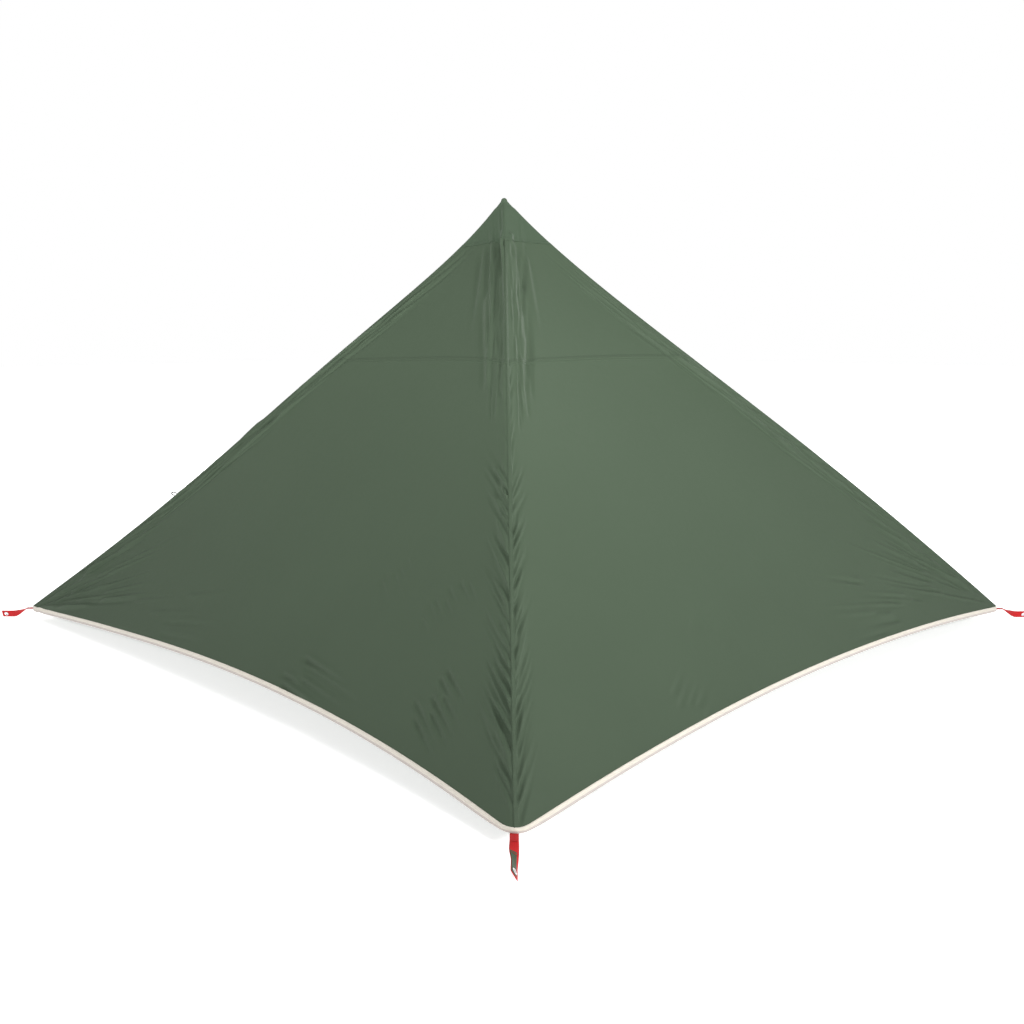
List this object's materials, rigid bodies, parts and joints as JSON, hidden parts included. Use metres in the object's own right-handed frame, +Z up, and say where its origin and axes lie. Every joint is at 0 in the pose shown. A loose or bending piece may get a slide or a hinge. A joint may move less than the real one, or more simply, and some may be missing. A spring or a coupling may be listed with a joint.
{
  "type": "tarp shelter",
  "caption": "Square pyramid tarp shelter with a taped hem, webbing pegging straps with eyelets, a zipped two-leaf door and a telescopic centre pole.",
  "frame": {"origin": "on the ground under the middle of the square footprint", "axes": "+Z up, the door faces -Y, and +X is to the right of a person who faces the door"},
  "size_m": [2.5544, 2.5544, 1.424],
  "materials": {
    "canopy_fabric": "satin",
    "reinforcement_fabric": "satin",
    "seam_fabric": "satin",
    "hem_tape": "matte",
    "red_webbing": "satin",
    "dark_webbing": "matte",
    "dark_cord": "matte",
    "zip_tape": "matte",
    "zip_metal": "satin",
    "eyelet_metal": "polished",
    "toggle_plastic": "satin",
    "pole_aluminium": "satin",
    "clamp_plastic": "satin",
    "lever_plastic": "gloss",
    "pin_steel": "satin",
    "foot_rubber": "matte"
  },
  "bodies": {
    "canopy": {"rear_panel_lower": "canopy_fabric", "rear_panel_upper": "canopy_fabric", "right_panel_lower": "canopy_fabric", "right_panel_upper": "canopy_fabric", "left_panel_lower": "canopy_fabric", "left_panel_upper": "canopy_fabric", "front_panel_header": "canopy_fabric", "right_door_margin": "canopy_fabric", "left_door_margin": "canopy_fabric", "front_right_ridge_seam": "seam_fabric", "rear_right_ridge_seam": "seam_fabric", "rear_left_ridge_seam": "seam_fabric", "front_left_ridge_seam": "seam_fabric", "right_cross_seam": "seam_fabric", "rear_cross_seam": "seam_fabric", "left_cross_seam": "seam_fabric", "apex_patch": "reinforcement_fabric", "apex_cup": "reinforcement_fabric", "rear_hem_tape": "hem_tape", "right_hem_tape": "hem_tape", "left_hem_tape": "hem_tape", "right_tie_loop": "dark_cord", "left_tie_loop": "dark_cord", "right_toggle_tab": "dark_webbing", "left_toggle_tab": "dark_webbing"},
    "right_door": {"right_door_lower": "canopy_fabric", "right_door_upper": "canopy_fabric", "right_door_hem_tape": "hem_tape", "right_zip_tape": "zip_tape"},
    "left_door": {"left_door_lower": "canopy_fabric", "left_door_upper": "canopy_fabric", "left_door_hem_tape": "hem_tape", "left_zip_tape": "zip_tape"},
    "slider": {"zip_slider": "zip_metal"},
    "puller": {"zip_puller": "zip_metal"},
    "right_toggle": {"right_toggle": "toggle_plastic", "right_toggle_cord": "dark_cord"},
    "left_toggle": {"left_toggle": "toggle_plastic", "left_toggle_cord": "dark_cord"},
    "pole_upper": {"pole_top_cap": "clamp_plastic", "pole_upper_tube": "pole_aluminium", "slide_bushing": "clamp_plastic"},
    "pole_lower": {"pole_lower_tube": "pole_aluminium", "pole_foot": "foot_rubber", "clamp_collar": "clamp_plastic", "clamp_pin": "pin_steel"},
    "lever": {"clamp_lever": "lever_plastic"},
    "front_right_strap": {"front_right_strap": "red_webbing", "front_right_eyelet": "eyelet_metal"},
    "rear_right_strap": {"rear_right_strap": "red_webbing", "rear_right_eyelet": "eyelet_metal"},
    "rear_left_strap": {"rear_left_strap": "red_webbing", "rear_left_eyelet": "eyelet_metal"},
    "front_left_strap": {"front_left_strap": "red_webbing", "front_left_eyelet": "eyelet_metal"}
  },
  "joints": [
    {"name": "right_door_fold", "type": "hinge", "parent": "canopy", "child": "right_door", "pos_m": [1.16605, -1.19893, 0.04436], "axis": [-0.5504, 0.5504, 0.6278], "range_deg": [0, 140]},
    {"name": "left_door_fold", "type": "hinge", "parent": "canopy", "child": "left_door", "pos_m": [-1.16595, -1.19893, 0.04436], "axis": [-0.5639, -0.5417, -0.6233], "range_deg": [0, 140]},
    {"name": "zip_slide", "type": "slide", "parent": "right_door", "child": "slider", "axis": [0.0132, 0.6458, 0.7634], "range_m": [0, 1.354]},
    {"name": "puller_flip", "type": "hinge", "parent": "slider", "child": "puller", "pos_m": [0.00116, -1.14782, 0.11112], "axis": [-0.9999, 0.0085, 0.0101], "range_deg": [0, 150]},
    {"name": "pole_lean", "type": "hinge", "parent": "canopy", "child": "pole_upper", "pos_m": [0.024, -0.024, 1.3985], "axis": [1, 0, 0], "range_deg": [-18, 18]},
    {"name": "pole_telescope", "type": "slide", "parent": "pole_upper", "child": "pole_lower", "axis": [0, 0, 1], "range_m": [0, 0.35]},
    {"name": "clamp_lever_turn", "type": "hinge", "parent": "pole_lower", "child": "lever", "pos_m": [0.0465, -0.024, 0.747], "axis": [0, 0, -1], "range_deg": [0, 115]},
    {"name": "front_right_strap_fold", "type": "hinge", "parent": "canopy", "child": "front_right_strap", "pos_m": [1.20283, -1.20283, 0.036], "axis": [-0.7071, -0.7071, 0], "range_deg": [0, 100]},
    {"name": "rear_right_strap_fold", "type": "hinge", "parent": "canopy", "child": "rear_right_strap", "pos_m": [1.20283, 1.20283, 0.036], "axis": [0.7071, -0.7071, 0], "range_deg": [0, 100]},
    {"name": "rear_left_strap_fold", "type": "hinge", "parent": "canopy", "child": "rear_left_strap", "pos_m": [-1.20283, 1.20283, 0.036], "axis": [0.7071, 0.7071, 0], "range_deg": [0, 100]},
    {"name": "front_left_strap_fold", "type": "hinge", "parent": "canopy", "child": "front_left_strap", "pos_m": [-1.20283, -1.20283, 0.036], "axis": [-0.7071, 0.7071, 0], "range_deg": [0, 100]},
    {"name": "right_toggle_swing", "type": "hinge", "parent": "canopy", "child": "right_toggle", "pos_m": [0.81804, -0.81804, 0.41172], "axis": [0.7071, -0.7071, 0], "range_deg": [-50, 50]},
    {"name": "left_toggle_swing", "type": "hinge", "parent": "canopy", "child": "left_toggle", "pos_m": [-0.81108, -0.82603, 0.42471], "axis": [-0.7071, -0.7071, 0], "range_deg": [-50, 50]}
  ]
}
